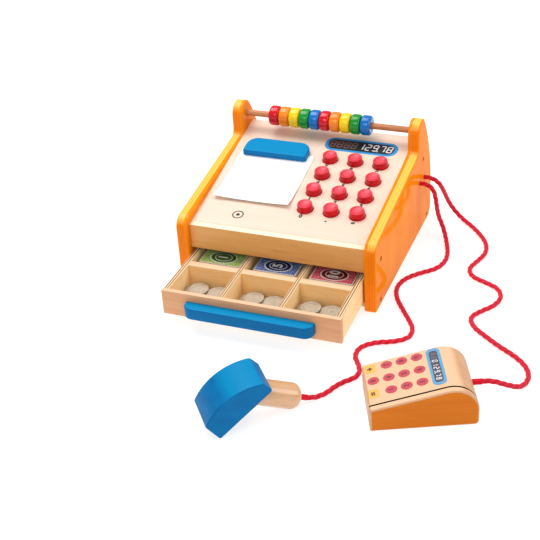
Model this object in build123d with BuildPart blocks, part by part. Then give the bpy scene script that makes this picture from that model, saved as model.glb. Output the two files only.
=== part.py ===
"""Wooden toy cash register with abacus, cash drawer, corded scanner and corded card reader.

Millimetres, +Z up. Everything is drawn about the register itself: X = 0 is its middle, Y = 0 the front
edge of its side panels, Z = 0 the surface it stands on. Each finished piece is then moved so that the
origin lies under the middle of the whole set.
"""
import os
from math import cos, pi, radians, sin, sqrt, tan

from build123d import *

# ---- driving dimensions ----------------------------------------------------------------------------
registerWidth = 253.0      # over both side panels
panelThickness = 15.0
panelDepth = 255.0
shoulderHeight = 90.5      # front edge of a side panel
faceTilt = 10.8            # slope of the face, degrees
backRadius = 189.7         # long curve up the back edge
headRadius = 16.0          # round head that carries the abacus rod
setMiddle = (79.07, -7.98)   # middle of register, scanner and card reader together, seen from above

faceFront = (8.0, 81.3)    # y, z of the front top edge of the face
faceThickness = 8.0
faceBack = 226.0
apronThickness = 8.0
apronBottom = 49.6

keyColumns = (18.9, 51.9, 84.9)
keyRows = (57.0, 90.1, 123.2, 156.3)
keyNames = (("0", "point", "equals"), ("1", "2", "3"), ("4", "5", "6"), ("7", "8", "9"))
keyRadius = 9.75
keyHoleRadius = 10.5
keyTopRadius = 8.4
keySkirt = 1.5             # height of the straight part above the face
keyHeight = 8.5
keyDish = 1.6
dishRadius = 20.0
keyTravel = 3.0
movingGap = 0.3            # between pieces that move past each other

rodRadius = 4.0
beadRadius = 13.0
beadPitch = 13.8
beadCount = 10
beadStart = -77.4          # left side of the first bead

drawerFront = -82.5        # front of the drawer, drawn part way open
drawerBottom = 10.8
drawerTop = 43.0
drawerLength = 215.5
drawerHalf = 110.0
wallThickness = 7.0
frontThickness = 6.0
floorThickness = 3.0
dividerThickness = 6.0
dividerCentre = 37.0
crossDivider = (-22.5, -12.5)

cordRadius = 2.6
sleeveRadius = 3.3
cordHoleRadius = 2.8

scannerAt = (38.0, -263.0)
scannerYaw = 38.5
scannerTilt = 37.7
scannerThickness = 49.4
handleRadius = 14.5
handleLength = 56.0
handleLean = 28.5          # from square to the head's base

readerAt = (182.0, -207.3)
readerYaw = 23.1
readerWidth = 80.4
readerLength = 112.6

# ---- worked out ------------------------------------------------------------------------------------
halfWidth = registerWidth / 2
innerHalf = halfWidth - panelThickness
slope = tan(radians(faceTilt))
face = Plane(origin=(0, *faceFront), x_dir=(1, 0, 0), z_dir=(0, -sin(radians(faceTilt)), cos(radians(faceTilt))))
backCentre = (panelDepth - backRadius, 41.0)
headAngle = 35.28
rodY = backCentre[0] + (backRadius - headRadius) * cos(radians(headAngle))
rodZ = backCentre[1] + (backRadius - headRadius) * sin(radians(headAngle))
toOrigin = Location((-setMiddle[0], -setMiddle[1], 0))

os.makedirs("parts", exist_ok=True)


def keep(piece, name):
    """Label a finished piece, move it to the set's origin and write it."""
    piece.part = piece.part.moved(toOrigin)
    piece.part.label = name
    export_step(piece.part, f"parts/{name}.step")


def board(xs, ys, zs, mode=Mode.ADD):
    """A flat board between three pairs of limits, in the builder that is open."""
    with Locations(((xs[0] + xs[1]) / 2, (ys[0] + ys[1]) / 2, (zs[0] + zs[1]) / 2)):
        Box(xs[1] - xs[0], ys[1] - ys[0], zs[1] - zs[0], mode=mode)


def onFace(x, v, w=0.0):
    """Plane parallel to the face at x across, v up the slope and w above it."""
    return Plane(face.location * Location((x, v, w)))


def faceHeight(y):
    return faceFront[1] + slope * (y - faceFront[0])


# ---- side panels -----------------------------------------------------------------------------------
screwPlaces = ((20.0, 7.75), (234.0, 7.75), (21.5, 64.0), (213.6, 99.5))    # y, z on each panel
screwHeadRadius = 3.4
screwHeadDepth = 4.0
cordExits = {"scanner": (196.4, 73.0), "reader": (217.5, 71.6)}              # y, z on the right panel
rodSocket = 8.0
neckHeight = faceHeight(rodY - headRadius)

for side, name in ((-1, "side_panel_left"), (1, "side_panel_right")):
    innerFace = Plane.YZ.offset(side * innerHalf)
    outerFace = Plane.YZ.offset(side * halfWidth)
    inward = -side
    with BuildPart() as sidePanel:
        with BuildSketch(innerFace):
            with BuildLine():
                FilletPolyline((40, 0), (0, 0), (0, shoulderHeight), (rodY - headRadius, neckHeight),
                               (rodY - headRadius, rodZ), radius=[3.5, 15.5, 9.0])
                CenterArc((rodY, rodZ), headRadius, 180, headAngle - 180)
                CenterArc(backCentre, backRadius, headAngle, -headAngle)
                Line((panelDepth, backCentre[1]), (panelDepth, 15))
                CenterArc((panelDepth - 15, 15), 15, 0, -90)
                Line((panelDepth - 15, 0), (40, 0))
            make_face()
        extrude(amount=side * panelThickness)
        fillet(sidePanel.faces().filter_by(Axis.X).edges(), 2.6)
        with BuildSketch(innerFace):
            with Locations((rodY, rodZ)):
                Circle(rodRadius)
        extrude(amount=side * rodSocket, mode=Mode.SUBTRACT)
        with BuildSketch(outerFace):
            with Locations(*screwPlaces):
                Circle(screwHeadRadius + 0.1)
        extrude(amount=inward * screwHeadDepth, mode=Mode.SUBTRACT)
        with BuildSketch(outerFace):
            with Locations(*screwPlaces):
                Circle(1.6)
        extrude(amount=inward * panelThickness, mode=Mode.SUBTRACT)
        if side > 0:
            with BuildSketch(outerFace):
                with Locations(*cordExits.values()):
                    Circle(cordHoleRadius)
            extrude(amount=inward * panelThickness, mode=Mode.SUBTRACT)
    keep(sidePanel, name)

# ---- case: face, apron, rails, base and back -------------------------------------------------------
faceDrop = faceThickness / cos(radians(faceTilt))
clipScrewPlaces = ((-80.0, 167.0), (-26.0, 167.0))

with BuildPart() as facePanel:
    apronBack = faceFront[0] + apronThickness
    with BuildSketch(Plane.YZ):
        with BuildLine():
            Polyline((apronBack, faceHeight(apronBack)), (faceBack, faceHeight(faceBack)),
                     (faceBack, faceHeight(faceBack) - faceDrop), (apronBack, faceHeight(apronBack) - faceDrop),
                     close=True)
        make_face()
    extrude(amount=innerHalf, both=True)
    with BuildSketch(face.offset(1)):
        with Locations(*[(x, v) for x in keyColumns for v in keyRows]):
            Circle(keyHoleRadius)
    extrude(amount=-faceThickness - 2, mode=Mode.SUBTRACT)
    with BuildSketch(face.offset(1)):
        with Locations(*clipScrewPlaces):
            Circle(1.6)
    extrude(amount=-faceThickness - 2, mode=Mode.SUBTRACT)
keep(facePanel, "face_panel")

with BuildPart() as apron:
    with BuildSketch(Plane.YZ):
        with BuildLine():
            Polyline((faceFront[0], apronBottom), (apronBack, apronBottom), (apronBack, faceHeight(apronBack)),
                     faceFront, close=True)
        make_face()
    extrude(amount=innerHalf, both=True)
keep(apron, "apron")

caseBoards = {
    "front_rail": ((-innerHalf, innerHalf), (apronBack, 34.0), (54.0, 72.0)),
    "rear_rail": ((-innerHalf, innerHalf), (204.0, faceBack), (90.0, 108.0)),
    "base_panel": ((-innerHalf, innerHalf), (4.0, 244.0), (5.0, 10.5)),
    "back_panel": ((-innerHalf, innerHalf), (faceBack, faceBack + 6.0), (10.5, 119.5)),
}
screwLength = 32.0
screwReach = screwLength + screwHeadDepth - panelThickness      # of a screw past the panel's inner face
for name, (xs, ys, zs) in caseBoards.items():
    inside = [place for place in screwPlaces if ys[0] < place[0] < ys[1] and zs[0] < place[1] < zs[1]]
    with BuildPart() as piece:
        board(xs, ys, zs)
        if inside:
            for side in (-1, 1):
                with BuildSketch(Plane.YZ.offset(side * innerHalf)):
                    with Locations(*inside):
                        Circle(1.5)
                extrude(amount=-side * screwReach, mode=Mode.SUBTRACT)
    keep(piece, name)

with BuildPart() as panelScrews:
    for side in (-1, 1):
        seat = Plane.YZ.offset(side * (halfWidth - screwHeadDepth))
        with BuildSketch(seat):
            with Locations(*screwPlaces):
                Circle(screwHeadRadius)
        extrude(amount=side * 2.2)
        with BuildSketch(seat):
            with Locations(*screwPlaces):
                Circle(1.5)
        extrude(amount=-side * screwLength)
        with BuildSketch(seat.offset(side * 2.2)):
            with Locations(*screwPlaces):
                Rectangle(3.6, 0.8)
                Rectangle(0.8, 3.6)
        extrude(amount=-side * 1.2, mode=Mode.SUBTRACT)
keep(panelScrews, "panel_screws")

# ---- keys, their springs and the board that guides them --------------------------------------------
flangeTop = -faceThickness - movingGap
flangeBottom = flangeTop - 2.0
springLength = 8.0
guideTop = flangeBottom - springLength - 0.1
guideThickness = 4.0
guideBottom = guideTop - guideThickness
stemRadius = 3.0
springRadius = 5.0
springPitch = 1.75
springEndGap = 1.2
keySpots = [(x, v) for v in keyRows for x in keyColumns]

for row, v in enumerate(keyRows):
    for column, x in enumerate(keyColumns):
        with BuildPart(onFace(x, v)) as key:
            upwards = (Align.CENTER, Align.CENTER, Align.MIN)
            with Locations((0, 0, flangeBottom)):
                Cylinder(keyRadius + 2.0, flangeTop - flangeBottom, align=upwards)
            with Locations((0, 0, flangeTop)):
                Cylinder(keyRadius, keySkirt - flangeTop, align=upwards)
            with Locations((0, 0, keySkirt)):
                Cone(keyRadius, keyTopRadius, keyHeight - keySkirt, align=upwards)
            with Locations((0, 0, guideBottom - 0.6)):
                Cylinder(stemRadius, flangeBottom - guideBottom + 0.6, align=upwards)
            with Locations((0, 0, keyHeight - keyDish + dishRadius)):
                Sphere(dishRadius, mode=Mode.SUBTRACT)
        keep(key, f"key_{keyNames[row][column]}")

with BuildPart() as keySprings:
    for x, v in keySpots:
        coil = onFace(x, v, guideTop + springEndGap)
        with BuildLine(coil) as path:
            Helix(pitch=springPitch, height=springLength - 2 * springEndGap, radius=springRadius)
        with BuildSketch(Plane(origin=path.line @ 0, z_dir=path.line % 0)):
            Circle(0.4)
        sweep(path=path.line, is_frenet=True)
keep(keySprings, "key_springs")

boardEnds = (36.0, 176.0)      # along the slope
boardSides = (4.0, 100.0)
boardMiddle = (sum(boardSides) / 2, sum(boardEnds) / 2)
with BuildPart() as keyBoard:
    with BuildSketch(face.offset(guideTop)):
        with Locations(boardMiddle):
            Rectangle(boardSides[1] - boardSides[0], boardEnds[1] - boardEnds[0])
        with Locations(*keySpots):
            Circle(stemRadius + movingGap, mode=Mode.SUBTRACT)
    extrude(amount=-guideThickness)
keep(keyBoard, "key_board")

cleatWidth = 7.0
with BuildPart() as cleats:
    with BuildSketch(face.offset(-faceThickness)):
        for v in (boardEnds[0] + cleatWidth / 2, boardEnds[1] - cleatWidth / 2):
            with Locations((boardMiddle[0], v)):
                Rectangle(boardSides[1] - boardSides[0], cleatWidth)
    extrude(amount=guideTop + faceThickness)
keep(cleats, "key_board_cleats")

# ---- abacus ----------------------------------------------------------------------------------------
with BuildPart() as rod:
    with BuildSketch(Plane.YZ):
        with Locations((rodY, rodZ)):
            Circle(rodRadius)
    extrude(amount=innerHalf + rodSocket, both=True)
keep(rod, "abacus_rod")

beadWidth = beadPitch - movingGap
for number in range(beadCount):
    left = beadStart + number * beadPitch + movingGap / 2
    with BuildPart() as bead:
        with BuildSketch(Plane.YZ.offset(left)):
            with Locations((rodY, rodZ)):
                Circle(beadRadius)
        extrude(amount=beadWidth)
        fillet(bead.edges(), beadWidth * 0.46)
        with BuildSketch(Plane.YZ.offset(left - 1)):
            with Locations((rodY, rodZ)):
                Circle(rodRadius + 0.1)
        extrude(amount=beadWidth + 2, mode=Mode.SUBTRACT)
    keep(bead, f"bead_{number + 1}")

# ---- paper clip and paper --------------------------------------------------------------------------
clipSides = (-96.0, -10.0)
clipEnds = (143.5, 173.5)
clipHeight = 9.0
paperSlot = 1.6
slotEnd = 160.0
paperSides = (-101.0, -2.0)
paperEnds = (54.0, 158.0)
paperThickness = 0.8

with BuildPart() as paperClip:
    with BuildSketch(face):
        with Locations(((clipSides[0] + clipSides[1]) / 2, (clipEnds[0] + clipEnds[1]) / 2)):
            Rectangle(clipSides[1] - clipSides[0], clipEnds[1] - clipEnds[0])
        fillet(vertices().sort_by(Axis.Y)[2:], 15.0)
        fillet(vertices().sort_by(Axis.Y)[:2], 3.0)
    extrude(amount=clipHeight)
    fillet(paperClip.faces().filter_by(face).sort_by(Axis.Z)[-1].edges(), 2.2)
    with BuildSketch(face):
        with Locations(((clipSides[0] + clipSides[1]) / 2, (clipEnds[0] + slotEnd) / 2 - 1)):
            Rectangle(clipSides[1] - clipSides[0] + 2, slotEnd - clipEnds[0] + 2)
    extrude(amount=paperSlot, mode=Mode.SUBTRACT)
    with BuildSketch(face):
        with Locations(*clipScrewPlaces):
            Circle(1.5)
    extrude(amount=6.0, mode=Mode.SUBTRACT)
keep(paperClip, "paper_clip")

with BuildPart() as clipScrews:
    with BuildSketch(face.offset(-faceThickness)):
        with Locations(*clipScrewPlaces):
            Circle(3.2)
    extrude(amount=-2.0)
    with BuildSketch(face.offset(-faceThickness)):
        with Locations(*clipScrewPlaces):
            Circle(1.5)
    extrude(amount=faceThickness + 6.0)
keep(clipScrews, "clip_screws")

with BuildPart() as paperPad:
    with BuildSketch(face.offset(movingGap)):
        with Locations((sum(paperSides) / 2, sum(paperEnds) / 2)):
            Rectangle(paperSides[1] - paperSides[0], paperEnds[1] - paperEnds[0])
    extrude(amount=paperThickness)
keep(paperPad, "paper_pad")

# ---- drawer ----------------------------------------------------------------------------------------
wallInner = drawerHalf - wallThickness
boardBack = drawerFront + frontThickness          # back of the front board
drawerEnd = drawerFront + drawerLength
insideEnd = drawerEnd - wallThickness
floorTop = drawerBottom + floorThickness
lapHeight = (floorTop + drawerTop) / 2
handleScrewX = (-50.0, 50.0)
handleHalf = 80.0
handleDepth = 14.5
handleHeights = (18.0, 33.0)
handleMiddle = sum(handleHeights) / 2

with BuildPart() as frontBoard:
    board((-drawerHalf - 1, drawerHalf + 1), (drawerFront, boardBack), (drawerBottom, drawerTop))
    with BuildSketch(Plane.XZ.offset(-boardBack)):
        with Locations(*[(x, handleMiddle) for x in handleScrewX]):
            Circle(1.6)
    extrude(amount=frontThickness, mode=Mode.SUBTRACT)
keep(frontBoard, "drawer_front")
drawerBoards = {
    "drawer_side_left": ((-drawerHalf, -wallInner), (boardBack, drawerEnd), (drawerBottom, drawerTop)),
    "drawer_side_right": ((wallInner, drawerHalf), (boardBack, drawerEnd), (drawerBottom, drawerTop)),
    "drawer_back": ((-wallInner, wallInner), (insideEnd, drawerEnd), (drawerBottom, drawerTop)),
    "drawer_bottom": ((-wallInner, wallInner), (boardBack, insideEnd), (drawerBottom, floorTop)),
}
for name, limits in drawerBoards.items():
    with BuildPart() as piece:
        board(*limits)
    keep(piece, name)

with BuildPart() as crossBoard:
    board((-wallInner, wallInner), crossDivider, (floorTop, drawerTop))
    with Locations(*[(side * dividerCentre, sum(crossDivider) / 2, drawerTop) for side in (-1, 1)]):
        Box(dividerThickness, 20, 2 * (drawerTop - lapHeight), mode=Mode.SUBTRACT)
keep(crossBoard, "drawer_cross_divider")
for side, name in ((-1, "drawer_divider_left"), (1, "drawer_divider_right")):
    xs = (side * dividerCentre - dividerThickness / 2, side * dividerCentre + dividerThickness / 2)
    with BuildPart() as divider:
        board(xs, (boardBack, insideEnd), (floorTop, drawerTop))
        with Locations((side * dividerCentre, sum(crossDivider) / 2, floorTop)):
            Box(20, crossDivider[1] - crossDivider[0], 2 * (lapHeight - floorTop), mode=Mode.SUBTRACT)
    keep(divider, name)

with BuildPart() as drawerHandle:
    with BuildSketch(Plane.XY.offset(handleHeights[0])):
        with Locations((0, drawerFront - handleDepth / 2)):
            Rectangle(2 * handleHalf, handleDepth)
        fillet(vertices().sort_by(Axis.Y)[:2], 11.5)
    extrude(amount=handleHeights[1] - handleHeights[0])
    fillet(drawerHandle.edges().filter_by(Plane.XY).filter_by(
        lambda edge: edge.center().Y < drawerFront - 0.5), 1.8)
    with BuildSketch(Plane.XZ.offset(-drawerFront)):
        with Locations(*[(x, handleMiddle) for x in handleScrewX]):
            Circle(1.5)
    extrude(amount=9.0, mode=Mode.SUBTRACT)
keep(drawerHandle, "drawer_handle")

with BuildPart() as handleScrews:
    with BuildSketch(Plane.XZ.offset(-boardBack)):
        with Locations(*[(x, handleMiddle) for x in handleScrewX]):
            Circle(3.3)
    extrude(amount=-2.0)
    with BuildSketch(Plane.XZ.offset(-boardBack)):
        with Locations(*[(x, handleMiddle) for x in handleScrewX]):
            Circle(1.5)
    extrude(amount=frontThickness + 9.0)
keep(handleScrews, "handle_screws")

# play money that is kept in the drawer
noteLength = 112.0
noteWidth = 55.0
noteStart = crossDivider[1] + 9.5
noteStack = 24.0
bays = {
    "green": (-wallInner, -dividerCentre - dividerThickness / 2),
    "blue": (-dividerCentre + dividerThickness / 2, dividerCentre - dividerThickness / 2),
    "red": (dividerCentre + dividerThickness / 2, wallInner),
}
for colour, (low, high) in bays.items():
    middle = (low + high) / 2
    sides = (middle - noteWidth / 2, middle + noteWidth / 2)
    ends = (noteStart, noteStart + noteLength)
    with BuildPart() as notes:
        board(sides, ends, (floorTop, floorTop + noteStack))
    keep(notes, f"notes_{colour}")

coinRadius = 12.5
coinThickness = 2.2
coinPlaces = (                 # x, y in a bay, layer
    (-15.0, 10.0, 0), (13.0, 9.0, 0), (-2.0, -12.0, 0), (-13.0, 12.0, 1), (14.0, 7.0, 1),
    (-16.0, 9.0, 2), (11.0, 11.0, 2), (-12.5, 10.5, 3), (14.0, 9.0, 3),
)
bayMiddleY = (boardBack + crossDivider[0]) / 2
with BuildPart() as coins:
    for low, high in bays.values():
        for x, y, layer in coinPlaces:
            with BuildSketch(Plane.XY.offset(floorTop + layer * (coinThickness + 0.05))):
                with Locations(((low + high) / 2 + x, bayMiddleY + y)):
                    Circle(coinRadius)
            extrude(amount=coinThickness)
keep(coins, "coins")

# ---- scanner: head standing on the edge of its base, handle end on the table ------------------------
cornerRadius = 2.5
tilt, yaw, lean = radians(scannerTilt), radians(scannerYaw), radians(handleLean)
along = Vector(cos(tilt) * cos(yaw), cos(tilt) * sin(yaw), sin(tilt))          # up the base
outward = Vector(-sin(tilt) * cos(yaw), -sin(tilt) * sin(yaw), cos(tilt))      # from base to rounded back
across = Vector(-sin(yaw), cos(yaw), 0)
tip = Vector(*scannerAt, cornerRadius * (1 - sin(tilt) - cos(tilt)))
headPlane = Plane(origin=tip + across * scannerThickness, x_dir=along, z_dir=-across)
baseSpot = 54.6                                                                # handle's place on the base
handleAxis = along * sin(lean) - outward * cos(lean)
baseCentre = tip + across * (scannerThickness / 2) + along * baseSpot
tenonRadius = 7.0
tenonDepth = 12.0

with BuildPart() as scannerHead:
    with BuildSketch(headPlane):
        with BuildLine():
            Polyline((0.6, 24.3), (0, 0), (76, 0), (74.9, 15.6))
            ThreePointArc((74.9, 15.6), (44.5, 30.2), (0.6, 24.3))
        make_face()
        fillet(vertices(), cornerRadius)
    extrude(amount=scannerThickness)
    fillet(scannerHead.faces().filter_by(headPlane).edges(), 1.8)
    with BuildSketch(Plane(origin=baseCentre - handleAxis * tenonDepth, z_dir=handleAxis)):
        Circle(tenonRadius)
    extrude(amount=tenonDepth + 8.0, mode=Mode.SUBTRACT)
keep(scannerHead, "scanner_head")

sleeveLength = 10.0
sleeveSocket = 4.0
handleEnd = baseCentre + handleAxis * handleLength
with BuildPart() as scannerHandle:
    with BuildSketch(Plane(origin=baseCentre - handleAxis * 12, z_dir=handleAxis)):
        Circle(handleRadius)
    extrude(amount=handleLength + 12)
    fillet(scannerHandle.faces().sort_by(Axis(tuple(baseCentre), tuple(handleAxis)))[-1].edges(), 11.0)
    split(bisect_by=Plane(origin=baseCentre, z_dir=-outward), keep=Keep.TOP)
    with BuildSketch(Plane(origin=baseCentre - handleAxis * tenonDepth, z_dir=handleAxis)):
        Circle(tenonRadius)
    extrude(amount=tenonDepth + 8.0)
    with BuildSketch(Plane(origin=handleEnd, z_dir=handleAxis)):
        Circle(sleeveRadius)
    extrude(amount=-sleeveSocket, mode=Mode.SUBTRACT)
keep(scannerHandle, "scanner_handle")

with BuildPart() as scannerSleeve:
    with BuildSketch(Plane(origin=handleEnd - handleAxis * sleeveSocket, z_dir=handleAxis)):
        Circle(sleeveRadius)
    extrude(amount=sleeveSocket + sleeveLength)
keep(scannerSleeve, "scanner_cord_sleeve")

# ---- card reader: a wedge block with a slot to swipe cards through ----------------------------------
turn = radians(readerYaw)
lengthwise = Vector(cos(turn), sin(turn), 0)
sideways = Vector(-sin(turn), cos(turn), 0)
readerCorner = Vector(*readerAt, 0)
readerLow = 26.8
readerSlope = 0.2243
readerRound = 27.0
slotPlace = 8.7             # of the slot's middle from the near side
slotWidth = 2.0
slotDepth = 11.0
cordEntry = (41.0, 23.8)    # across, up

with BuildPart() as readerBody:
    readerSide = Plane(origin=readerCorner + sideways * readerWidth, x_dir=lengthwise, z_dir=-sideways)
    with BuildSketch(readerSide):
        with BuildLine():
            FilletPolyline((40, 0), (readerLength, 0), (readerLength, readerLow + readerSlope * readerLength),
                           (0, readerLow), (0, 0), radius=[5.0, readerRound, 2.0])
            Line((0, 0), (40, 0))
        make_face()
    extrude(amount=readerWidth)
    fillet(readerBody.edges().filter_by(Axis.Z), 3.0)
    with BuildSketch(readerSide.offset(readerWidth - slotPlace)):
        with BuildLine():
            bottom = readerLow - slotDepth
            Polyline((-5, bottom - 5 * readerSlope), (130, bottom + 130 * readerSlope), (130, 80), (-5, 80),
                     close=True)
        make_face()
    extrude(amount=slotWidth / 2, both=True, mode=Mode.SUBTRACT)
    entry = readerCorner + lengthwise * readerLength + sideways * cordEntry[0] + Vector(0, 0, cordEntry[1])
    with BuildSketch(Plane(origin=entry, z_dir=lengthwise)):
        Circle(sleeveRadius)
    extrude(amount=-sleeveSocket - 2.0, mode=Mode.SUBTRACT)
keep(readerBody, "reader_body")

with BuildPart() as readerSleeve:
    with BuildSketch(Plane(origin=entry - lengthwise * (sleeveSocket + 2.0), z_dir=lengthwise)):
        Circle(sleeveRadius)
    extrude(amount=sleeveSocket + 2.0 + sleeveLength)
keep(readerSleeve, "reader_cord_sleeve")

# ---- cords -----------------------------------------------------------------------------------------
# Each lies loose on the table between its hole in the right panel and its sleeve.
routes = {
    "scanner": [
        (126.5, 196.4, 73.0), (136.5, 196.4, 73.0), (145.0, 193.5, 68.0), (149.0, 190.5, 59.0),
        (150.5, 192.0, 44.0), (151.5, 197.5, 28.5), (156.5, 199.5, 14.0), (163.0, 190.5, 4.0),
        (169.0, 173.0, 2.7), (175.0, 154.0, 2.7), (177.5, 133.0, 2.7), (171.5, 112.0, 2.7),
        (153.0, 96.0, 2.7), (139.0, 79.0, 2.7), (134.5, 57.5, 2.7), (141.0, 35.5, 2.7),
        (154.0, 15.0, 2.7), (166.5, -3.5, 2.7), (177.0, -20.5, 2.7), (178.0, -39.0, 2.7),
        (163.5, -51.5, 2.7), (143.0, -58.5, 2.7), (128.5, -72.5, 2.7), (128.0, -91.0, 2.7),
        (137.5, -104.5, 2.7), (143.0, -117.5, 2.7), (140.5, -129.0, 2.7), (131.5, -138.0, 2.7),
        (124.5, -149.0, 2.7), (119.5, -163.0, 2.8),
    ],
    "reader": [
        (126.5, 217.5, 71.6), (136.5, 217.5, 71.6), (145.0, 218.5, 66.0), (149.0, 222.5, 57.5),
        (151.5, 232.5, 42.0), (154.5, 241.0, 26.0), (162.5, 244.5, 11.5), (175.0, 239.0, 3.4),
        (189.5, 226.0, 2.7), (205.0, 207.5, 2.7), (217.5, 186.5, 2.7), (221.5, 164.0, 2.7),
        (215.0, 142.5, 2.7), (208.5, 123.0, 2.7), (216.5, 106.0, 2.7), (235.5, 97.5, 2.7),
        (252.5, 89.0, 2.7), (260.5, 71.0, 2.7), (256.0, 51.0, 2.7), (242.5, 35.0, 2.7),
        (233.5, 19.0, 2.7), (242.0, 1.5, 2.7), (259.0, -12.5, 2.7), (277.0, -27.0, 2.7),
        (296.5, -39.5, 2.7), (313.0, -55.0, 2.7), (320.5, -75.5, 2.7), (315.5, -95.5, 4.0),
        (303.0, -109.0, 14.5),
    ],
}
# where each cord enters its sleeve, the sleeve's direction and how far the cord runs straight out of it
ends = {
    "scanner": (handleEnd + handleAxis * sleeveLength, handleAxis, 7.6),
    "reader": (entry + lengthwise * sleeveLength, lengthwise, 10.0),
}


def roundedRadii(route):
    """The largest arc that each corner's two runs allow."""
    radii = []
    for before, at, after in zip(route, route[1:], route[2:]):
        arriving, leaving = Vector(at) - Vector(before), Vector(after) - Vector(at)
        shorter = min(arriving.length, leaving.length)
        radii.append(0.45 * shorter / tan(radians(arriving.get_angle(leaving)) / 2))
    return radii


for name, route in routes.items():
    end, direction, straight = ends[name]
    route = route + [tuple(end + direction * straight), tuple(end)]
    radii = roundedRadii(route)
    with BuildPart() as cord:
        with BuildLine() as path:
            FilletPolyline(*route, radius=radii)
        with BuildSketch(Plane(origin=path.line @ 0, z_dir=path.line % 0)):
            Circle(cordRadius)
        sweep(path=path.line)
    keep(cord, f"{name}_cord")
    runs = [(Vector(b) - Vector(a)).length for a, b in zip(route, route[1:])]
    length = sum(edge.length for edge in path.edges())
    print(f"{name} cord: length {length:.0f}, volume {cord.part.volume:.0f} of {pi * cordRadius ** 2 * length:.0f},"
          f" runs {min(runs):.0f} to {max(runs):.0f}, lowest {cord.part.bounding_box().min.Z:.2f}")
    print("  radii", " ".join(f"{radius:.0f}" for radius in radii))

# a plain knot inside the panel stops each cord from pulling through its hole
knotRadius = 5.5
knotCentre = innerHalf - knotRadius - movingGap
neck = knotCentre + sqrt(knotRadius ** 2 - cordRadius ** 2)
with BuildPart() as knots:
    for y, z in cordExits.values():
        with BuildSketch(Plane(origin=(0, y, z), x_dir=(1, 0, 0), z_dir=(0, -1, 0))):
            with BuildLine():
                Polyline((neck, cordRadius), (halfWidth, cordRadius), (halfWidth, 0), (knotCentre - knotRadius, 0))
                ThreePointArc((knotCentre - knotRadius, 0), (knotCentre, knotRadius), (neck, cordRadius))
            make_face()
        revolve(axis=Axis((0, y, z), (1, 0, 0)))
keep(knots, "cord_knots")
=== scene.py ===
import random
from math import cos, pi, radians, sin

import bmesh
import bpy
from mathutils import Matrix, Vector


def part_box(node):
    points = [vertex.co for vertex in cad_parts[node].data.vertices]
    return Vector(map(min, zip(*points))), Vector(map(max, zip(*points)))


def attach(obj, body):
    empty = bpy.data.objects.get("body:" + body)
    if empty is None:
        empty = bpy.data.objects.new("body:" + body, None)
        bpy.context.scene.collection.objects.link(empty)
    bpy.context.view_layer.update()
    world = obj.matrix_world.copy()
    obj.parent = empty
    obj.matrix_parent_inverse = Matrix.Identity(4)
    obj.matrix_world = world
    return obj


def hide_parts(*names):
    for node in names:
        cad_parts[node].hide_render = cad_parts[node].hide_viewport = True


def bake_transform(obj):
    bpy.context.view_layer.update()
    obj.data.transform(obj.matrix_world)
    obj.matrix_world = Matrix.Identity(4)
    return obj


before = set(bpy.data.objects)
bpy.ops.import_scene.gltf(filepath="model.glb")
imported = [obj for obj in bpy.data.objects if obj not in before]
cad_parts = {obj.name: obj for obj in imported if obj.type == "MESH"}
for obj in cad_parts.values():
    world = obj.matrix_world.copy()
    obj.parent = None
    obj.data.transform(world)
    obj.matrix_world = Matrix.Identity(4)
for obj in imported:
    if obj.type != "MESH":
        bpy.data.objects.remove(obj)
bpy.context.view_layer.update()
random.seed(7)

# Places are given in millimetres from the register's middle, its panels' front edge and the table.
registerX = sum(corner.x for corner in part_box("abacus_rod")) / 2
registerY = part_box("side_panel_right")[0].y
faceTilt = radians(10.8)
faceFront = (8.0, 81.3)


def at(x, y, z):
    return Vector((registerX + x / 1000, registerY + y / 1000, z / 1000))


def facePlace(x, v, w=0.0):  # v runs up the sloping face, w out of it
    return at(x, faceFront[0] + v * cos(faceTilt) - w * sin(faceTilt),
              faceFront[1] + v * sin(faceTilt) + w * cos(faceTilt))


def axes(origin, xAxis, zAxis):
    x, z = Vector(xAxis).normalized(), Vector(zAxis).normalized()
    y = z.cross(x)
    return Matrix.Translation(origin) @ Matrix((x, y, z)).transposed().to_4x4()


def faceFrame(x, v, w=0.0):
    return axes(facePlace(x, v, w), (1, 0, 0), (0, -sin(faceTilt), cos(faceTilt)))


# camera, floor and light
studio = {
    "cameraPlace": (463.2, -1104.3, 791.2), "cameraTurn": (57.851, 3.248, 20.966), "lens": 78.63,
    "world": (0.95, 0.97, 1.0), "worldStrength": 0.42,
    "lights": (
        # place, size, power, what it points at
        ((-0.7, 0.35, 1.5), 1.1, 17, (0, 0, 0.05)),
        ((0.5, 0.5, 1.7), 1.5, 9, (0, 0, 0.05)),
        ((1.5, 0.1, 0.8), 0.9, 7, (0.1, 0, 0.05)),
        ((-0.2, -1.4, 1.2), 1.0, 8.5, (0, 0, 0.05)),
    ),
}


def addCamera():
    data = bpy.data.cameras.new("camera")
    data.lens = studio["lens"]
    data.sensor_width = 36
    data.clip_start = 0.01
    holder = bpy.data.objects.new("camera", data)
    holder.location = at(*studio["cameraPlace"])
    holder.rotation_euler = [radians(a) for a in studio["cameraTurn"]]
    bpy.context.scene.collection.objects.link(holder)
    bpy.context.scene.camera = holder


def addLights():
    for number, (place, size, power, target) in enumerate(studio["lights"]):
        data = bpy.data.lights.new(f"softbox{number}", "AREA")
        data.shape = "DISK"
        data.size = size
        data.energy = power
        lamp = bpy.data.objects.new(f"softbox{number}", data)
        lamp.location = place
        lamp.rotation_euler = (Vector(target) - Vector(place)).to_track_quat("-Z", "Y").to_euler()
        bpy.context.scene.collection.objects.link(lamp)
    world = bpy.data.worlds.new("studio")
    world.use_nodes = True
    world.node_tree.nodes["Background"].inputs["Color"].default_value = (*studio["world"], 1)
    world.node_tree.nodes["Background"].inputs["Strength"].default_value = studio["worldStrength"]
    bpy.context.scene.world = world
    bpy.context.scene.view_settings.view_transform = "Standard"


addCamera()
addLights()
print("camera and lights placed")


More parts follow.
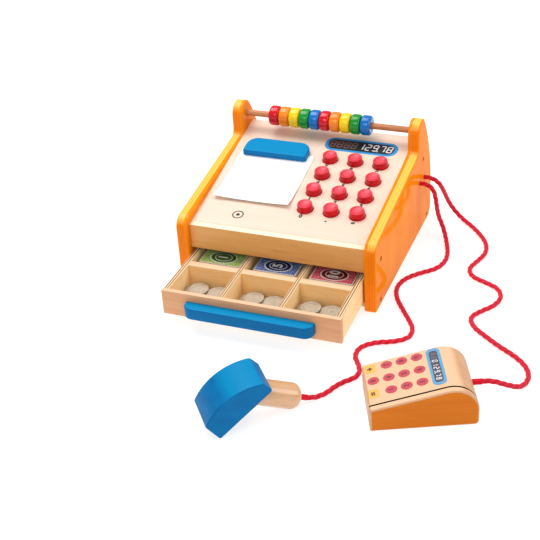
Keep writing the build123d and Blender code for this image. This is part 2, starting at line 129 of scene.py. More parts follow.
# materials
def linear(red, green, blue):  # 0-255 values to linear light
    tones = (red, green, blue)
    return (*(((c / 255 + 0.055) / 1.055) ** 2.4 if c > 10 else c / 3295 for c in tones), 1)


def startMaterial(name, **sockets):
    material = bpy.data.materials.new(name)
    material.use_nodes = True
    shader = material.node_tree.nodes["Principled BSDF"]
    for socket, value in sockets.items():
        shader.inputs[socket.replace("_", " ")].default_value = value
    return material, material.node_tree, shader


def addNode(tree, kind, settings=None, **inputs):
    node = tree.nodes.new("ShaderNode" + kind)
    for key, value in (settings or {}).items():
        setattr(node, key, value)
    for key, value in inputs.items():
        socket = node.inputs[key.replace("_", " ")]
        if isinstance(value, bpy.types.NodeSocket):
            tree.links.new(value, socket)
        else:
            socket.default_value = value
    return node


def objectCoords(tree, scale=(1, 1, 1), turn=(0, 0, 0)):
    coords = addNode(tree, "TexCoord").outputs["Object"]
    if any(turn):
        coords = addNode(tree, "Mapping", Vector=coords, Rotation=turn).outputs["Vector"]
    return addNode(tree, "Mapping", Vector=coords, Scale=scale).outputs["Vector"]


def ramp(tree, value, stops):
    node = addNode(tree, "ValToRGB", Fac=value)
    elements = node.color_ramp.elements
    while len(elements) < len(stops):
        elements.new(0.5)
    for element, (position, colour) in zip(elements, stops):
        element.position = position
        element.color = colour if len(colour) == 4 else (*colour, 1)
    return node.outputs["Color"]


def grey(value):
    return (value, value, value, 1)


def mixColours(tree, factor, first, second, blend="MIX"):
    node = addNode(tree, "Mix", {"data_type": "RGBA", "blend_type": blend})
    for socket, value in ((node.inputs[0], factor), (node.inputs[6], first), (node.inputs[7], second)):
        if isinstance(value, bpy.types.NodeSocket):
            tree.links.new(value, socket)
        else:
            socket.default_value = value
    return node.outputs[2]


def sums(tree, operation, first, second=None):
    node = addNode(tree, "Math", {"operation": operation})
    for socket, value in zip(node.inputs, (first, second)):
        if isinstance(value, bpy.types.NodeSocket):
            tree.links.new(value, socket)
        elif value is not None:
            socket.default_value = value
    return node.outputs[0]


def bump(tree, shader, height, strength, distance):
    node = addNode(tree, "Bump", Height=height, Strength=strength, Distance=distance)
    tree.links.new(node.outputs["Normal"], shader.inputs["Normal"])


grainAxes = {"x": (0.12, 1, 1), "y": (1, 0.12, 1), "z": (1, 1, 0.12)}


def grainPattern(tree, grain, density, turn=(0, 0, 0)):
    # long soft figure, fine fibres and the short dark flecks of beech, all stretched along the grain
    stretch = grainAxes[grain]
    coarse = objectCoords(tree, [s * density for s in stretch], turn)
    figure = addNode(tree, "TexNoise", Vector=coarse, Scale=1.0, Detail=4.0, Roughness=0.55, Distortion=0.6)
    fine = objectCoords(tree, [s ** 1.6 * density * 14 for s in stretch], turn)
    fibres = addNode(tree, "TexNoise", Vector=fine, Scale=1.0, Detail=3.0, Roughness=0.6)
    middling = objectCoords(tree, [s * density * 9 for s in stretch], turn)
    flecks = addNode(tree, "TexNoise", Vector=middling, Scale=1.0, Detail=1.0, Roughness=0.4)
    marks = ramp(tree, flecks.outputs["Fac"], ((0.62, grey(0)), (0.74, grey(1))))
    return figure.outputs["Fac"], fibres.outputs["Fac"], marks


def coordAlong(tree, coords, direction):  # the part of a texture coordinate that lies along a direction
    node = addNode(tree, "VectorMath", {"operation": "DOT_PRODUCT"})
    tree.links.new(addNode(tree, "TexCoord").outputs[coords], node.inputs[0])
    node.inputs[1].default_value = direction
    return node.outputs["Value"]


def sideMask(tree, direction, low=0.55, high=0.75):  # 1 on faces that look along a direction, either way
    facing = sums(tree, "ABSOLUTE", coordAlong(tree, "Normal", direction))
    return ramp(tree, facing, ((low, grey(0)), (high, grey(1))))


def woodMaterial(name, pale, dark, grain="x", density=38, roughness=0.5, coat=0.0, contrast=1.0, fleck=0.35,
                 turn=(0, 0, 0), relief=0.15, topTintAndTopLight=None):
    material, tree, shader = startMaterial(name, Roughness=roughness, Coat_Weight=coat, Coat_Roughness=0.08)
    figure, fibres, marks = grainPattern(tree, grain, density, turn)
    mixed = sums(tree, "ADD", sums(tree, "MULTIPLY", figure, 0.62), sums(tree, "MULTIPLY", fibres, 0.38))
    spread = 0.17 / contrast
    colour = ramp(tree, mixed, ((0.5 - spread, dark), (0.5 + spread, pale)))
    darkened = mixColours(tree, 1.0, colour, dark, "MULTIPLY")
    flecked = mixColours(tree, sums(tree, "MULTIPLY", marks, fleck), colour, darkened)
    if topTintAndTopLight:  # faces that look up get another colour: on the apron the cream of the face lapping over, on the drawer's front and cross divider painted light from above
        flecked = mixColours(tree, sideMask(tree, (0, 0, 1), 0.6, 0.9), flecked, topTintAndTopLight)
    tree.links.new(flecked, shader.inputs["Base Color"])
    bump(tree, shader, mixed, relief, 0.0006)
    return material


print("wood and paint helpers ready")

# cords: the same routes as their tubes, one smooth line through each
cordRoutes = {
    "scanner": [
        (126.5, 196.4, 73.0), (136.5, 196.4, 73.0), (145.0, 193.5, 68.0), (149.0, 190.5, 59.0),
        (150.5, 192.0, 44.0), (151.5, 197.5, 28.5), (156.5, 199.5, 14.0), (163.0, 190.5, 4.0),
        (169.0, 173.0, 2.7), (175.0, 154.0, 2.7), (177.5, 133.0, 2.7), (171.5, 112.0, 2.7),
        (153.0, 96.0, 2.7), (139.0, 79.0, 2.7), (134.5, 57.5, 2.7), (141.0, 35.5, 2.7),
        (154.0, 15.0, 2.7), (166.5, -3.5, 2.7), (177.0, -20.5, 2.7), (178.0, -39.0, 2.7),
        (163.5, -51.5, 2.7), (143.0, -58.5, 2.7), (128.5, -72.5, 2.7), (128.0, -91.0, 2.7),
        (137.5, -104.5, 2.7), (143.0, -117.5, 2.7), (140.5, -129.0, 2.7), (131.5, -138.0, 2.7),
        (124.5, -149.0, 2.7), (119.5, -163.0, 2.8), (109.4, -174.6, 2.6), (103.7, -179.2, 5.7),
    ],
    "reader": [
        (126.5, 217.5, 71.6), (136.5, 217.5, 71.6), (145.0, 218.5, 66.0), (149.0, 222.5, 57.5),
        (151.5, 232.5, 42.0), (154.5, 241.0, 26.0), (162.5, 244.5, 11.5), (175.0, 239.0, 3.4),
        (189.5, 226.0, 2.7), (205.0, 207.5, 2.7), (217.5, 186.5, 2.7), (221.5, 164.0, 2.7),
        (215.0, 142.5, 2.7), (208.5, 123.0, 2.7), (216.5, 106.0, 2.7), (235.5, 97.5, 2.7),
        (252.5, 89.0, 2.7), (260.5, 71.0, 2.7), (256.0, 51.0, 2.7), (242.5, 35.0, 2.7),
        (233.5, 19.0, 2.7), (242.0, 1.5, 2.7), (259.0, -12.5, 2.7), (277.0, -27.0, 2.7),
        (296.5, -39.5, 2.7), (313.0, -55.0, 2.7), (320.5, -75.5, 2.7), (315.5, -95.5, 4.0),
        (303.0, -109.0, 14.5), (287.9, -117.6, 23.8), (278.7, -121.5, 23.8),
    ],
}
cordLook = {
    "radius": 2.8, "lift": 0.35,  # thicker than the tube, and raised so that it stays above the table
    # shade is the colour of the grooves between the strands: painted shade
    "strands": 3, "pitch": 9.0, "relief": 0.4, "red": (216, 2, 42), "shade": (146, 0, 28),
}


def cordCurve(name, route, radius, lift=0.0):
    curve = bpy.data.curves.new(name, "CURVE")
    curve.dimensions = "3D"
    curve.resolution_u = 24
    curve.bevel_depth = radius
    curve.bevel_resolution = 6
    curve.use_fill_caps = True
    spline = curve.splines.new("NURBS")
    spline.points.add(len(route) - 1)
    for point, (x, y, z) in zip(spline.points, route):
        point.co = (*at(x, y, z + lift), 1)
    spline.order_u = 3
    spline.use_endpoint_u = True
    return curve


def asMesh(curve):
    holder = bpy.data.objects.new(curve.name, curve)
    bpy.context.scene.collection.objects.link(holder)
    bpy.context.view_layer.update()
    mesh = bpy.data.meshes.new_from_object(holder.evaluated_get(bpy.context.evaluated_depsgraph_get()))
    bpy.data.objects.remove(holder)
    return mesh


def centreLine(name, route, lift):
    curve = cordCurve(name + "Line", route, 0, lift)
    curve.use_fill_caps = False
    return [vertex.co.copy() for vertex in asMesh(curve).vertices]


def twistedCord(name, route, look):
    line = centreLine(name, route, look["lift"])
    mesh = asMesh(cordCurve(name + "Tube", route, look["radius"] / 1000, look["lift"]))
    # rings follow the two end caps; each ring's points are lifted into twisted strands
    around = 16
    capPoints = len(mesh.vertices) - around * len(line)
    travelled = [0.0]
    for before, after in zip(line, line[1:]):
        travelled.append(travelled[-1] + (after - before).length * 1000)
    shade = mesh.attributes.new("strand", "FLOAT", "POINT")
    for index in range(capPoints, len(mesh.vertices)):
        ring, step = divmod(index - capPoints, around)
        angle = 2 * pi * step / around
        twist = 2 * pi * travelled[ring] / look["pitch"]
        over = 2 * abs(cos((look["strands"] * angle + twist) / 2)) - 1
        vertex = mesh.vertices[index]
        outward = vertex.co - line[ring]
        if 0 < ring < len(line) - 1:
            vertex.co = line[ring] + outward * (1 + look["relief"] * (over - 0.4) / look["radius"])
        # the strand value is low in the grooves, where the material paints shade
        shade.data[index].value = 0.5 + 0.5 * over
    piece = bpy.data.objects.new(name, mesh)
    bpy.context.scene.collection.objects.link(piece)
    mesh.shade_smooth()
    return piece, line, travelled[-1] / 1000


def shownPiece(name, mesh, body, stands=()):
    piece = bpy.data.objects.new(name, mesh)
    bpy.context.scene.collection.objects.link(piece)
    return claim(piece, body, stands)


def claim(piece, body, stands=()):
    if body:
        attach(piece, body)
    if stands:
        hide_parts(*stands)
    return piece


def cordMaterial(look):
    material, tree, shader = startMaterial("cordRed", Roughness=0.6, Sheen_Weight=0.1, Sheen_Roughness=0.5,
                                           Specular_IOR_Level=0.25)
    strand = addNode(tree, "Attribute", {"attribute_name": "strand"}).outputs["Fac"]
    noise = addNode(tree, "TexNoise", Vector=objectCoords(tree), Scale=2600.0, Detail=2.0, Roughness=0.6)
    fuzz = noise.outputs["Fac"]
    # dark in the grooves between strands (painted shade), with fine fibre noise mixed in
    mixed = sums(tree, "ADD", sums(tree, "MULTIPLY", strand, 0.72), sums(tree, "MULTIPLY", fuzz, 0.28))
    colour = ramp(tree, mixed, ((0.2, linear(*look["shade"])), (0.55, linear(*look["red"]))))
    tree.links.new(colour, shader.inputs["Base Color"])
    bump(tree, shader, fuzz, 0.25, 0.0003)
    return material


cordRed = cordMaterial(cordLook)
for device, route in cordRoutes.items():
    cord, line, length = twistedCord(device + "Cord", route, cordLook)
    cord.data.materials.append(cordRed)
    claim(cord, None, (device + "_cord",))
    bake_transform(cord)
    print(device, "cord", round(length, 3), "m")


# shapes
def placed(bm, matrix):  # a shape drawn in millimetres, set in its place
    bmesh.ops.transform(bm, matrix=matrix @ Matrix.Scale(0.001, 4), verts=bm.verts)


def addPiece(name, bm, matrix, materials, body, stands=(), smoothAngle=32, rounding=0.0):
    placed(bm, matrix)
    mesh = bpy.data.meshes.new(name)
    bm.to_mesh(mesh)
    bm.free()
    for material in materials:
        mesh.materials.append(material)
    mesh.shade_smooth()
    mesh.set_sharp_from_angle(angle=radians(smoothAngle))
    piece = shownPiece(name, mesh, body, stands)
    if rounding:
        bevel = piece.modifiers.new("rounded edges", "BEVEL")
        bevel.width = rounding / 1000
        bevel.segments = 3
        bevel.limit_method = "ANGLE"
        bevel.angle_limit = radians(smoothAngle)
        bevel.harden_normals = True
    return piece


def spun(profile, steps=64, closed=False):  # (radius, height) points turned round Z
    bm = bmesh.new()
    points = [bm.verts.new((radius, 0, height)) for radius, height in profile]
    pairs = list(zip(points, points[1:])) + ([(points[-1], points[0])] if closed else [])
    edges = [bm.edges.new(pair) for pair in pairs]
    bmesh.ops.spin(bm, geom=points + edges, cent=(0, 0, 0), axis=(0, 0, 1), angle=2 * pi, steps=steps,
                   use_merge=True)
    bmesh.ops.remove_doubles(bm, verts=bm.verts, dist=1e-4)
    bmesh.ops.recalc_face_normals(bm, faces=bm.faces)
    return bm


def merged(bm, other, matrix=None, slotIndex=0):
    if matrix:
        bmesh.ops.transform(other, matrix=matrix, verts=other.verts)
    for side in other.faces:
        side.material_index = slotIndex
    mesh = bpy.data.meshes.new("joined")
    other.to_mesh(mesh)
    other.free()
    bm.from_mesh(mesh)
    bpy.data.meshes.remove(mesh)


def thick(bm, depth):  # a flat shape made solid, upwards
    raised = bmesh.ops.extrude_face_region(bm, geom=bm.faces[:])
    upper = [part for part in raised["geom"] if isinstance(part, bmesh.types.BMVert)]
    bmesh.ops.translate(bm, vec=(0, 0, depth), verts=upper)
    bmesh.ops.recalc_face_normals(bm, faces=bm.faces)
    return bm


def plate(width, height, corner=0.0, steps=8):
    bm = bmesh.new()
    bmesh.ops.create_grid(bm, x_segments=1, y_segments=1, size=0.5)
    bmesh.ops.scale(bm, vec=(width, height, 1), verts=bm.verts)
    if corner:
        bmesh.ops.bevel(bm, geom=bm.verts[:], offset=corner, segments=steps, profile=0.5, affect="VERTICES",
                        material=-1)
    return bm


def disc(radius, steps=48):
    bm = bmesh.new()
    bmesh.ops.create_circle(bm, cap_ends=True, segments=steps, radius=radius)
    return bm


def ring(bm, wall):  # only the rim of a flat shape
    bmesh.ops.inset_region(bm, faces=bm.faces[:], thickness=wall, use_boundary=True, use_even_offset=True)
    middle = max(bm.faces, key=lambda one: one.calc_area())
    bmesh.ops.delete(bm, geom=[middle], context="FACES_ONLY")
    return bm


def moved(x=0.0, y=0.0, z=0.0, turn=0.0):
    return Matrix.Translation((x, y, z)) @ Matrix.Rotation(radians(turn), 4, "Z")


def lettering(text, height, bold=0.0):
    curve = bpy.data.curves.new("lettering", "FONT")
    curve.body = text
    curve.offset = bold * height
    curve.size = height / 0.7  # a capital is 0.7 of its font size
    curve.align_x = "CENTER"
    curve.align_y = "CENTER"
    curve.resolution_u = 5
    mesh = asMesh(curve)
    bm = bmesh.new()
    bm.from_mesh(mesh)
    bpy.data.meshes.remove(mesh)
    bmesh.ops.remove_doubles(bm, verts=bm.verts, dist=1e-4)
    return bm


# the seven bars of a digit: across, up, turned
barSpots = {"a": (0, 1, 0), "b": (1, 0.5, 90), "c": (1, -0.5, 90), "d": (0, -1, 0), "e": (-1, -0.5, 90),
            "f": (-1, 0.5, 90), "g": (0, 0, 0)}
barsOf = {"0": "abcdef", "1": "bc", "2": "abged", "3": "abgcd", "4": "fgbc", "5": "afgcd", "6": "afgedc",
          "7": "abc", "8": "abcdefg", "9": "abfgcd"}


def barDigit(digit, height, wall, slant=0.12):
    bm = bmesh.new()
    half = (height - wall) / 2
    for bar in barsOf[digit]:
        x, y, turn = barSpots[bar]
        merged(bm, plate(half - wall * 0.15, wall, wall * 0.45, 1), moved(x * half / 2, y * half, 0, turn))
    lean = Matrix(((1, slant, 0, 0), (0, 1, 0, 0), (0, 0, 1, 0), (0, 0, 0, 1)))
    bmesh.ops.transform(bm, matrix=lean, verts=bm.verts)
    return bm


def nodeShape(node):
    bm = bmesh.new()
    bm.from_mesh(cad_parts[node].data)
    bmesh.ops.remove_doubles(bm, verts=bm.verts, dist=1e-6)
    return bm


def refined(node, material, body, edge=0.5):
    # the node's own shape, its triangles merged and its sharp edges eased
    bm = nodeShape(node)
    bmesh.ops.dissolve_limit(bm, angle_limit=radians(1), verts=bm.verts, edges=bm.edges)
    sharp = [one for one in bm.edges if one.is_manifold and one.calc_face_angle(0) > radians(38)]
    bmesh.ops.bevel(bm, geom=sharp, offset=edge / 1000, segments=3, profile=0.5, affect="EDGES",
                    clamp_overlap=True, material=-1)
    bmesh.ops.scale(bm, vec=(1000, 1000, 1000), verts=bm.verts)
    words = node.split("_")
    name = words[0] + "".join(word.capitalize() for word in words[1:]) + "Eased"
    return addPiece(name, bm, Matrix(), [material], body, (node,), smoothAngle=40)


def paintNodes(material, *nodes):
    for node in nodes:
        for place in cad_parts[node].material_slots:
            place.material = material


# floor
floorLook = {"glow": 0.72, "size": 12.0, "drop": 0.0003}


def addFloor(look):
    material, tree, shader = startMaterial("floorWhite", Roughness=0.9, Emission_Strength=look["glow"])
    shader.inputs["Emission Color"].default_value = (1, 1, 1, 1)
    wear = addNode(tree, "TexNoise", Vector=objectCoords(tree), Scale=3.0, Detail=2.0).outputs["Fac"]
    tree.links.new(ramp(tree, wear, ((0, grey(0.38)), (1, grey(0.42)))), shader.inputs["Base Color"])
    bm = bmesh.new()
    bmesh.ops.create_grid(bm, x_segments=1, y_segments=1, size=look["size"])
    mesh = bpy.data.meshes.new("floor")
    bm.to_mesh(mesh)
    bm.free()
    mesh.materials.append(material)
    floor = bpy.data.objects.new("floor", mesh)
    floor.location.z = -look["drop"]
    bpy.context.scene.collection.objects.link(floor)


addFloor(floorLook)


# woods, paints and papers
def enamel(name, colour, deep, roughness=0.3, coat=0.2, relief=0.06, shine=0.15, top=None):
    # glossy paint over wood, its grain just showing; top (tone, direction, low, high) colours the faces that
    # look along direction in tone, painted light on the lit side
    material, tree, shader = startMaterial(name, Roughness=roughness, Coat_Weight=coat, Coat_Roughness=0.08,
                                           Specular_IOR_Level=shine)
    figure, fibres, _ = grainPattern(tree, "x", 60)
    shade = ramp(tree, figure, ((0.25, linear(*deep)), (0.7, linear(*colour))))
    if top:
        tone, direction, low, high = top
        shade = mixColours(tree, sideMask(tree, direction, low, high), shade, linear(*tone))
    tree.links.new(shade, shader.inputs["Base Color"])
    bump(tree, shader, fibres, relief, 0.0004)
    return material


def plyMaterial(name, pale, dark, edgePale, glue, start, layer, grain="y", roughness=0.45, coat=0.0,
                paintedTopLight=None, line=0.34, shine=0.06, rim=None):
    # board whose layers lie across x: veneer on both faces, glue lines along its edges
    material, tree, shader = startMaterial(name, Roughness=roughness, Coat_Weight=coat, Coat_Roughness=0.07,
                                           Specular_IOR_Level=shine)
    figure, fibres, _ = grainPattern(tree, grain, 38)
    mixed = sums(tree, "ADD", sums(tree, "MULTIPLY", figure, 0.6), sums(tree, "MULTIPLY", fibres, 0.4))
    veneer = ramp(tree, mixed, ((0.34, dark), (0.66, pale)))
    across = addNode(tree, "SeparateXYZ", Vector=addNode(tree, "TexCoord").outputs["Object"]).outputs["X"]
    wobble = addNode(tree, "TexNoise", Vector=objectCoords(tree), Scale=25.0, Detail=1.0).outputs["Fac"]
    wander = sums(tree, "MULTIPLY", wobble, layer * 0.3)
    place = sums(tree, "ADD", sums(tree, "SUBTRACT", across, start), wander)
    cycle = sums(tree, "FRACT", sums(tree, "DIVIDE", place, layer))
    stops = (0.0, line, line + 0.12, 0.94)
    layers = ramp(tree, cycle, list(zip(stops, (glue, glue, edgePale, edgePale))))
    if paintedTopLight:  # edges that look up are painted paler: painted light from above
        upper = ramp(tree, cycle, list(zip(stops, (paintedTopLight[1], paintedTopLight[1], paintedTopLight[0], paintedTopLight[0]))))
        layers = mixColours(tree, sideMask(tree, (0, 0, 1), 0.35, 0.85), layers, upper)
    if rim:  # the paint of the inner face laps over its edge
        fromInner = sums(tree, "ABSOLUTE", sums(tree, "SUBTRACT", across, rim[0]))
        layers = mixColours(tree, sums(tree, "LESS_THAN", fromInner, rim[1]), layers, veneer)
    streaked = mixColours(tree, sums(tree, "MULTIPLY", fibres, 0.12), layers, dark)
    colour = mixColours(tree, sideMask(tree, (1, 0, 0)), streaked, veneer)
    tree.links.new(colour, shader.inputs["Base Color"])
    bump(tree, shader, mixed, 0.12, 0.0005)
    return material


def inkMaterial(name, colour, second=None, scale=900.0, roughness=0.5):
    material, tree, shader = startMaterial(name, Roughness=roughness)
    grain = addNode(tree, "TexNoise", Vector=objectCoords(tree), Scale=scale, Detail=2.0).outputs["Fac"]
    ends = (linear(*(second or [c * 0.86 for c in colour])), linear(*colour))
    tree.links.new(ramp(tree, grain, ((0.35, ends[0]), (0.62, ends[1]))), shader.inputs["Base Color"])
    return material


orangeLook = {
    "pale": (248, 146, 20), "dark": (242, 128, 10), "edgePale": (246, 130, 10), "glue": (240, 118, 4),
    "paintedLitTopEdge": (250, 198, 92), "paintedLitTopLine": (242, 176, 62), "layer": 0.0034, "lap": 0.0044,
}


def orangePanel(name, node, look):
    low, high = (corner.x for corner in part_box(node))
    inner = max((low, high), key=lambda x: -abs(x - registerX))
    tones = {tone: linear(*look[tone]) for tone in ("pale", "dark", "edgePale", "glue")}
    # the top edge tones are painted light: upward edges coloured paler as if lit from above
    paintedTopLight = (linear(*look["paintedLitTopEdge"]), linear(*look["paintedLitTopLine"]))
    return plyMaterial(name, start=low, layer=look["layer"], grain="z", roughness=0.3, coat=0.25, paintedTopLight=paintedTopLight,
                       line=0.2, shine=0.0, rim=(inner, look["lap"]), **tones)


for side in ("left", "right"):
    node = "side_panel_" + side
    paintNodes(orangePanel("orangeWood" + side.capitalize(), node, orangeLook), node)

creamFace = woodMaterial("creamFace", linear(236, 210, 192), linear(228, 198, 174), "x", 26, roughness=0.45,
                         coat=0.1, contrast=0.7, fleck=0.08, relief=0.06)
# the apron's top tone is the cream of the face lapping over its top
apronWood = woodMaterial("apronWood", linear(236, 180, 104), linear(220, 158, 84), "x", 30, roughness=0.5,
                         fleck=0.2, topTintAndTopLight=linear(248, 228, 198))
# the drawer front's top tone is painted light on its top edges
frontWood = woodMaterial("frontWood", linear(230, 172, 126), linear(214, 150, 102), "x", 30, roughness=0.5,
                         fleck=0.2, topTintAndTopLight=linear(226, 188, 150))
# the cross divider's top tone is painted light on its top edges
crossWood = woodMaterial("crossWood", linear(255, 226, 166), linear(248, 196, 128), "x", 30, roughness=0.55,
                         fleck=0.3, topTintAndTopLight=linear(228, 194, 156))
plainPly = woodMaterial("plainPly", linear(236, 208, 164), linear(208, 168, 116), "y", 24, roughness=0.6,
                        fleck=0.15)
backPly = woodMaterial("backPly", linear(238, 208, 164), linear(216, 178, 128), "x", 24, roughness=0.6,
                       fleck=0.15)
beech = woodMaterial("beechRod", linear(206, 136, 82), linear(172, 100, 54), "x", 45, roughness=0.45)
drawerPly = {"pale": linear(255, 232, 180), "dark": linear(250, 210, 148), "edgePale": linear(232, 200, 162),
             "glue": linear(112, 60, 28)}

paintNodes(creamFace, "face_panel")
paintNodes(plainPly, "front_rail", "rear_rail", "base_panel", "key_board", "key_board_cleats")
paintNodes(backPly, "back_panel")
paintNodes(beech, "abacus_rod")
refined("apron", apronWood, "root", 0.6)


def steelMaterial(name, colour, roughness=0.32, metallic=1.0):
    material, tree, shader = startMaterial(name, Metallic=metallic)
    wear = addNode(tree, "TexNoise", Vector=objectCoords(tree), Scale=700.0, Detail=3.0).outputs["Fac"]
    tree.links.new(ramp(tree, wear, ((0.3, linear(*[c * 0.85 for c in colour])), (0.7, linear(*colour)))),
                   shader.inputs["Base Color"])
    dullness = ramp(tree, wear, ((0.2, grey(roughness)), (0.8, grey(roughness + 0.15))))
    tree.links.new(dullness, shader.inputs["Roughness"])
    bump(tree, shader, wear, 0.05, 0.0002)
    return material


steel = steelMaterial("zincSteel", (190, 190, 192))
darkSteel = steelMaterial("darkScrews", (96, 80, 66), 0.4)
paintNodes(steel, "clip_screws", "handle_screws")
paintNodes(darkSteel, "panel_screws")
sleeveRed = enamel("sleeveRed", (226, 14, 44), (196, 4, 30), 0.5, 0.0)
paintNodes(sleeveRed, "cord_knots")
print("case finished")


# keys
keyLook = {"columns": (18.9, 51.9, 84.9), "rows": (57.0, 90.1, 123.2, 156.3),
           "names": (("0", "point", "equals"), ("1", "2", "3"), ("4", "5", "6"), ("7", "8", "9")),
           "radius": 9.75, "topRadius": 9.0, "skirt": 1.5, "height": 8.5, "rim": 8.2, "dish": 1.3,
           "flange": (11.75, -8.3, -10.3), "stem": (3.0, -23.0), "labelDrop": 14.6, "labelAside": 1.3,
           "labelHeight": 5.9, "pointGrowth": 1.5, "signs": {"point": ".", "equals": "="},
           "red": (208, 2, 24), "deep": (184, 0, 16), "paintedDishHighlight": (224, 78, 94)}
keySpots = [(name, x, v) for v, names in zip(keyLook["rows"], keyLook["names"])
            for x, name in zip(keyLook["columns"], names)]


def keyProfile(look):
    dish = [(look["rim"] * i / 8, look["height"] - look["dish"] * (1 - (i / 8) ** 2)) for i in range(9)]
    flange, flangeTop, flangeBottom = look["flange"]
    stem, stemEnd = look["stem"]
    radius = look["radius"]
    side = [(look["topRadius"], look["height"] - 0.1), (radius, look["skirt"]), (radius, flangeTop)]
    return dish + side + [(flange, flangeTop), (flange, flangeBottom), (stem, flangeBottom), (stem, stemEnd),
                          (0, stemEnd)]


keyUp = (facePlace(0, 0, 1) - facePlace(0, 0, 0)).normalized()
# the dish of each key top is coloured pinker: a painted highlight
keyRed = enamel("keyRed", keyLook["red"], keyLook["deep"], 0.26, 0.2,
                top=(keyLook["paintedDishHighlight"], keyUp, 0.962, 0.99))
printBlack = inkMaterial("printBlack", (34, 28, 26))
for name, x, v in keySpots:
    addPiece("keyCap_" + name, spun(keyProfile(keyLook), 56), faceFrame(x, v), [keyRed], "key_" + name,
             ("key_" + name,), smoothAngle=40, rounding=0.55)

# return springs: the lower end rests on the key board
springLook = {"reach": 8.0, "bottom": -17.4, "top": -11.6}


def addSpring(name, x, v, look):
    bm = nodeShape("key_springs")
    fromKey = faceFrame(x, v).inverted()
    others = [vertex for vertex in bm.verts if (fromKey @ vertex.co).xy.length > look["reach"] / 1000]
    bmesh.ops.delete(bm, geom=others, context="VERTS")
    bmesh.ops.scale(bm, vec=(1000, 1000, 1000), verts=bm.verts)
    spring = addPiece("keySpring_" + name, bm, Matrix(), [steel], None, ("key_springs",),
                      smoothAngle=60)
    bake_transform(spring)


for name, x, v in keySpots:
    addSpring(name, x, v, springLook)
print("keys finished")

# what is printed on the face
inkDepth = 0.1  # mm
faceInk = bmesh.new()
for name, x, v in keySpots:
    sign = keyLook["signs"].get(name, name)
    size = keyLook["labelHeight"] * (keyLook["pointGrowth"] if sign == "." else 1)
    merged(faceInk, lettering(sign, size, 0.07), moved(x - keyLook["labelAside"], v - keyLook["labelDrop"]))
markLook = {"place": (-59.0, 30.0), "ring": 7.2, "wall": 1.5, "dot": 2.4}
merged(faceInk, ring(disc(markLook["ring"]), markLook["wall"]), moved(*markLook["place"]))
merged(faceInk, disc(markLook["dot"], 24), moved(*markLook["place"]))
addPiece("facePrint", thick(faceInk, inkDepth), faceFrame(0, 0, 0.02), [printBlack], "root")

displayLook = {
    "middle": (50.0, 189.0), "size": (96.0, 27.0), "corner": 12.0, "inner": (87.0, 19.5), "innerCorner": 8.0,
    "digit": 13.0, "wall": 1.5, "pitch": 9.4, "first": 12.6, "text": "888812978", "dim": 4, "pointAfter": 6,
    "blue": (22, 146, 214), "black": (10, 8, 12), "bright": (246, 240, 238), "ghost": (124, 92, 94),
}


def addDisplay(name, look, matrix, body):
    # border, window and bar digits, each a thin printed layer over the one before
    layers = bmesh.new()
    border = plate(*look["size"], look["corner"], 14)
    window = plate(*look["inner"], look["innerCorner"], 12)
    merged(layers, thick(border, inkDepth), moved(*look["middle"]))
    merged(layers, thick(window, inkDepth), moved(*look["middle"], inkDepth), 1)
    for number, digit in enumerate(look["text"]):
        x = look["first"] + number * look["pitch"]
        spot = moved(x, look["middle"][1], 2 * inkDepth)
        bars = barDigit(digit, look["digit"], look["wall"])
        merged(layers, thick(bars, inkDepth), spot, 3 if number < look["dim"] else 2)
        if number == look["pointAfter"]:  # the decimal point, at the digit's foot
            spot = moved(x + look["pitch"] * 0.42, look["middle"][1] - look["digit"] * 0.46, 2 * inkDepth)
            merged(layers, thick(disc(look["wall"] * 0.62, 16), inkDepth), spot, 2)
    inks = [inkMaterial(name + part, look[tone]) for part, tone in
            (("Border", "blue"), ("Window", "black"), ("Bright", "bright"), ("Ghost", "ghost"))]
    addPiece(name, layers, matrix, inks, body)


addDisplay("display", displayLook, faceFrame(0, 0, 0.01), "root")
print("prints finished")

# beads
beadLook = {
    "start": -77.4, "pitch": 13.8, "gap": 0.3, "radius": 13.0, "bore": 4.1, "shoulder": 3.7, "mouth": 0.6,
    "tones": ("red", "orange", "yellow", "green", "blue") * 2,
    "paints": {"red": ((224, 6, 32), (188, 0, 20)), "orange": ((250, 146, 30), (232, 112, 8)),
               "yellow": ((250, 214, 10), (238, 188, 0)), "green": ((20, 156, 50), (4, 124, 34)),
               "blue": ((0, 122, 200), (0, 92, 170))},
}
beadPaints = {tone: enamel(tone + "Bead", *pair, roughness=0.2, coat=0.55, relief=0.03)
              for tone, pair in beadLook["paints"].items()}


def beadProfile(look):
    width = look["pitch"] - look["gap"]
    shoulder, outer = look["shoulder"], look["radius"]
    turns = [pi / 2 * i / 8 for i in range(9)]
    arc = [(outer - shoulder + shoulder * sin(turn), shoulder - shoulder * cos(turn)) for turn in turns]
    lower = [(look["bore"], look["mouth"]), (look["bore"] + look["mouth"], 0.0)] + arc
    return lower + [(radius, width - height) for radius, height in reversed(lower)]


def rodFrame(x):  # Z runs along the rod
    low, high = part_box("abacus_rod")
    middle = (low + high) / 2
    return axes(Vector((registerX + x / 1000, middle.y, middle.z)), (0, 1, 0), (1, 0, 0))


for number, tone in enumerate(beadLook["tones"]):
    x = beadLook["start"] + number * beadLook["pitch"] + beadLook["gap"] / 2
    node = f"bead_{number + 1}"
    addPiece(f"{tone}Bead_{number + 1}", spun(beadProfile(beadLook), 64, closed=True), rodFrame(x),
             [beadPaints[tone]], node, (node,), smoothAngle=50)
print("beads finished")

# clip, handle and scanner head are painted the same blue
# faces that look up are painted a lighter blue: painted light from above
bluePaint = enamel("bluePaint", (0, 112, 170), (0, 98, 156), 0.3, 0.08, shine=0.06,
                   top=((0, 132, 184), (0, 0, 1), 0.8, 0.9))
paintNodes(bluePaint, "paper_clip", "drawer_handle", "scanner_head")

# note paper under the clip
paperLook = {"sides": (-101.0, -2.0), "ends": (54.0, 158.0), "rise": 0.6, "curl": 4.6, "curlLength": 52.0,
             "thickness": 0.35, "cells": 28}


